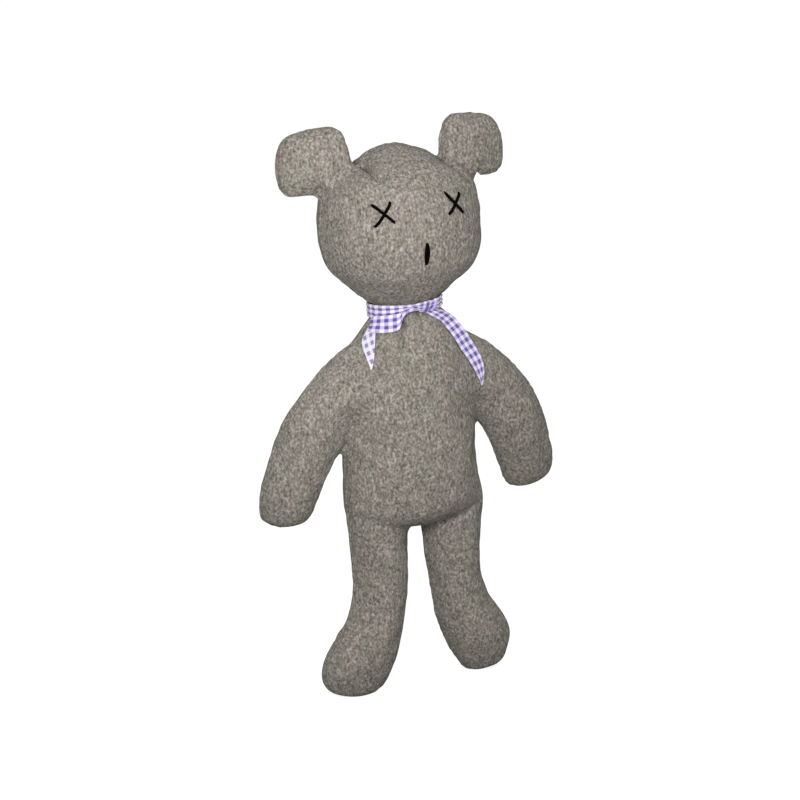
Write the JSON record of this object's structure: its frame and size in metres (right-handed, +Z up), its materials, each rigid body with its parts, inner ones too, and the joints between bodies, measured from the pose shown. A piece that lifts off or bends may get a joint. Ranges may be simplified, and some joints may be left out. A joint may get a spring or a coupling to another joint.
{
  "type": "stuffed tweed bear",
  "caption": "Soft stuffed bear of grey tweed with round head, mitten ears, stubby arms and legs, cross-stitched eyes, a stitched nose and a gingham ribbon tied at the neck.",
  "frame": {"origin": "on the floor, midway between the soles", "axes": "+Z up from the soles to the ears, the bear faces -Y, its own left side is at +X"},
  "size_m": [0.1782, 0.075, 0.3252],
  "materials": {
    "tweed": "grey-brown heathered wool tweed, matt",
    "stuffing": "loose white polyester fibre",
    "thread": "black embroidery thread",
    "gingham": "lilac and white woven gingham ribbon"
  },
  "bodies": {
    "torso": {"torso_front_panel": "tweed", "torso_back_panel": "tweed", "torso_stuffing": "stuffing", "ribbon_collar": "gingham", "ribbon_fold": "gingham", "ribbon_knot": "gingham"},
    "neck": {"neck_stuffing": "stuffing"},
    "head": {"head_front_panel": "tweed", "head_back_panel": "tweed", "head_stuffing": "stuffing", "eye_left_under_stitch": "thread", "eye_left_over_stitch": "thread", "eye_right_under_stitch": "thread", "eye_right_over_stitch": "thread", "nose_stitch": "thread"},
    "ear_left": {"ear_left_front_panel": "tweed", "ear_left_back_panel": "tweed", "ear_left_stuffing": "stuffing"},
    "ear_right": {"ear_right_front_panel": "tweed", "ear_right_back_panel": "tweed", "ear_right_stuffing": "stuffing"},
    "arm_left": {"arm_left_front_panel": "tweed", "arm_left_back_panel": "tweed", "arm_left_stuffing": "stuffing"},
    "arm_right": {"arm_right_front_panel": "tweed", "arm_right_back_panel": "tweed", "arm_right_stuffing": "stuffing"},
    "leg_left": {"leg_left_front_panel": "tweed", "leg_left_back_panel": "tweed", "leg_left_stuffing": "stuffing"},
    "leg_right": {"leg_right_front_panel": "tweed", "leg_right_back_panel": "tweed", "leg_right_stuffing": "stuffing"},
    "ribbon_tail_left": {"ribbon_tail_left": "gingham"},
    "ribbon_tail_right": {"ribbon_tail_right": "gingham"}
  },
  "joints": [
    {"name": "head_turn", "type": "hinge", "parent": "torso", "child": "neck", "pos_m": [0, 0, 0.216], "axis": [0, 0, 1], "range_deg": [-40, 40], "stiffness_Nm_per_rad": 0.12},
    {"name": "head_nod", "type": "hinge", "parent": "neck", "child": "head", "pos_m": [0, 0, 0.216], "axis": [1, 0, 0], "range_deg": [-15, 15], "stiffness_Nm_per_rad": 0.6},
    {"name": "ear_left_fold", "type": "hinge", "parent": "head", "child": "ear_left", "pos_m": [0.03875, 0, 0.30225], "axis": [0.7392, 0, -0.6735], "range_deg": [-40, 40], "stiffness_Nm_per_rad": 0.02},
    {"name": "ear_right_fold", "type": "hinge", "parent": "head", "child": "ear_right", "pos_m": [-0.03875, 0, 0.30225], "axis": [0.7392, 0, 0.6735], "range_deg": [-40, 40], "stiffness_Nm_per_rad": 0.02},
    {"name": "arm_left_swing", "type": "hinge", "parent": "torso", "child": "arm_left", "pos_m": [0.037, 0, 0.172], "axis": [0.1789, 0, -0.9839], "range_deg": [-25, 40], "stiffness_Nm_per_rad": 0.08},
    {"name": "arm_right_swing", "type": "hinge", "parent": "torso", "child": "arm_right", "pos_m": [-0.037, 0, 0.172], "axis": [0.1789, 0, 0.9839], "range_deg": [-25, 40], "stiffness_Nm_per_rad": 0.08},
    {"name": "leg_left_swing", "type": "hinge", "parent": "torso", "child": "leg_left", "pos_m": [0.0228, 0, 0.092], "axis": [-1, 0, 0], "range_deg": [-30, 70], "stiffness_Nm_per_rad": 0.6},
    {"name": "leg_right_swing", "type": "hinge", "parent": "torso", "child": "leg_right", "pos_m": [-0.0228, 0, 0.092], "axis": [-1, 0, 0], "range_deg": [-30, 70], "stiffness_Nm_per_rad": 0.6},
    {"name": "ribbon_tail_left_lift", "type": "hinge", "parent": "torso", "child": "ribbon_tail_left", "pos_m": [0.0145, -0.02, 0.2135], "axis": [-0.8689, 0, -0.495], "range_deg": [0, 50]},
    {"name": "ribbon_tail_right_lift", "type": "hinge", "parent": "torso", "child": "ribbon_tail_right", "pos_m": [-0.027, -0.0136, 0.2104], "axis": [-1, 0, 0], "range_deg": [0, 50]}
  ]
}
